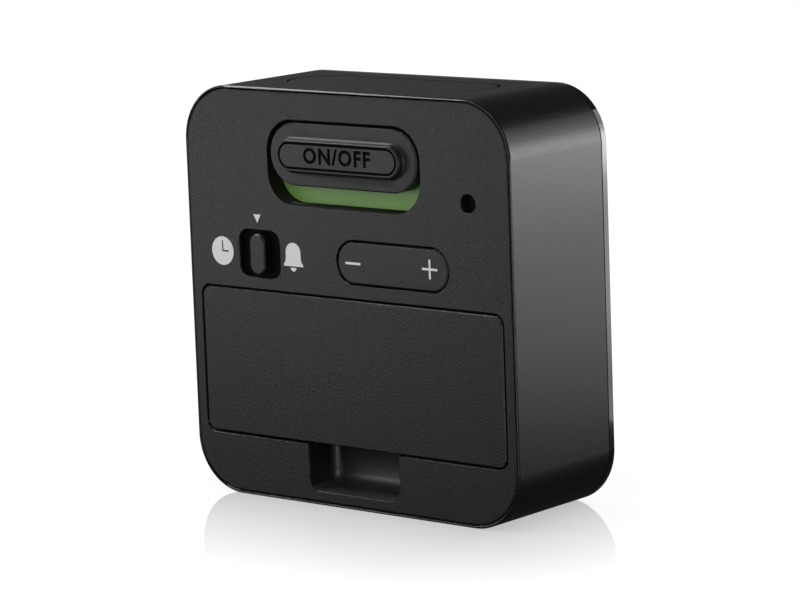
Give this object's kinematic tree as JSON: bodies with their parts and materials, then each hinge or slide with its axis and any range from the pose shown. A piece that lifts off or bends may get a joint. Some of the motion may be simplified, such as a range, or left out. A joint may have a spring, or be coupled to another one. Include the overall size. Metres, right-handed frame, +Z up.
{
  "type": "talking alarm clock",
  "caption": "Square digital table clock with rounded corners: back with alarm slider, set switch, rocker, speaker hole and battery door; long push button on top.",
  "frame": {"origin": "middle of the flat base at the half depth of the case", "axes": "+Z up, -Y out of the display, +Y out of the back with the controls, +X to the left of a person who looks at the back"},
  "size_m": [0.07, 0.0274, 0.07],
  "materials": {
    "case_plastic": "fine spark-eroded black ABS, satin on the side walls",
    "control_plastic": "fine spark-eroded black ABS with pale printed symbols",
    "panel_plastic": "polished black plastic",
    "lens_plastic": "clear polished acrylic",
    "display_glass": "liquid crystal glass with dark plain digits",
    "guide_plastic": "milky acrylic light guide",
    "white_plastic": "white nylon",
    "strip_rubber": "layered silicone contact strip",
    "board_lacquer": "glass fibre board with green lacquer",
    "chip_plastic": "moulded epoxy",
    "can_metal": "drawn steel can",
    "sleeve_plastic": "dark shrink sleeve",
    "cell_plastic": "plain dark sleeve with bare steel ends",
    "contact_metal": "nickel plated spring steel",
    "flag_plastic": "muted green label",
    "switch_metal": "pressed steel switch cover",
    "lever_plastic": "black nylon",
    "speaker_metal": "black steel basket and plated magnet",
    "foam_rubber": "closed cell foam",
    "screw_steel": "zinc plated steel"
  },
  "bodies": {
    "case": {"main_housing": "case_plastic", "front_panel": "panel_plastic", "display_lens": "lens_plastic", "lcd_panel": "display_glass", "light_guide": "guide_plastic", "display_frame": "white_plastic", "contact_strip": "strip_rubber", "backlight_lamps": "white_plastic", "main_board": "board_lacquer", "control_chip": "chip_plastic", "crystal": "can_metal", "capacitor": "sleeve_plastic", "rear_cover": "case_plastic", "upper_cell": "cell_plastic", "lower_cell": "cell_plastic", "bridge_contact": "contact_metal", "cell_terminals": "contact_metal", "return_springs": "contact_metal", "cell_springs": "contact_metal", "alarm_flag": "flag_plastic", "alarm_switch": "switch_metal", "set_switch": "switch_metal", "push_switches": "chip_plastic", "key_board": "board_lacquer", "speaker": "speaker_metal", "speaker_gasket": "foam_rubber", "button_switch": "chip_plastic", "case_screws": "screw_steel", "board_screws": "screw_steel"},
    "door": {"battery_door": "case_plastic"},
    "alarm_control": {"alarm_slider": "control_plastic", "alarm_switch_lever": "lever_plastic"},
    "set_control": {"set_knob": "control_plastic", "set_switch_lever": "lever_plastic"},
    "rocker": {"rocker_button": "control_plastic"},
    "press_button": {"top_button": "control_plastic", "switch_plunger": "lever_plastic"}
  },
  "joints": [
    {"name": "battery_door_hinge", "type": "hinge", "parent": "case", "child": "door", "pos_m": [0, 0.013, 0.03546], "axis": [1, 0, 0], "range_deg": [0, 70]},
    {"name": "alarm_slide", "type": "slide", "parent": "case", "child": "alarm_control", "axis": [0, 0, 1], "range_m": [-0.0031, 0]},
    {"name": "set_slide", "type": "slide", "parent": "case", "child": "set_control", "axis": [1, 0, 0], "range_m": [-0.0019, 0.0019]},
    {"name": "rocker_hinge", "type": "hinge", "parent": "case", "child": "rocker", "pos_m": [-0.0099, 0.0102, 0.04187], "axis": [0, 0, 1], "range_deg": [-2.4, 2.4], "stiffness_Nm_per_rad": 0.2},
    {"name": "top_press", "type": "slide", "parent": "case", "child": "press_button", "axis": [0, 0, 1], "range_m": [-0.0008, 0], "stiffness_N_per_m": 600, "springref_m": 0.0005, "deforming": ["return_springs"]}
  ]
}
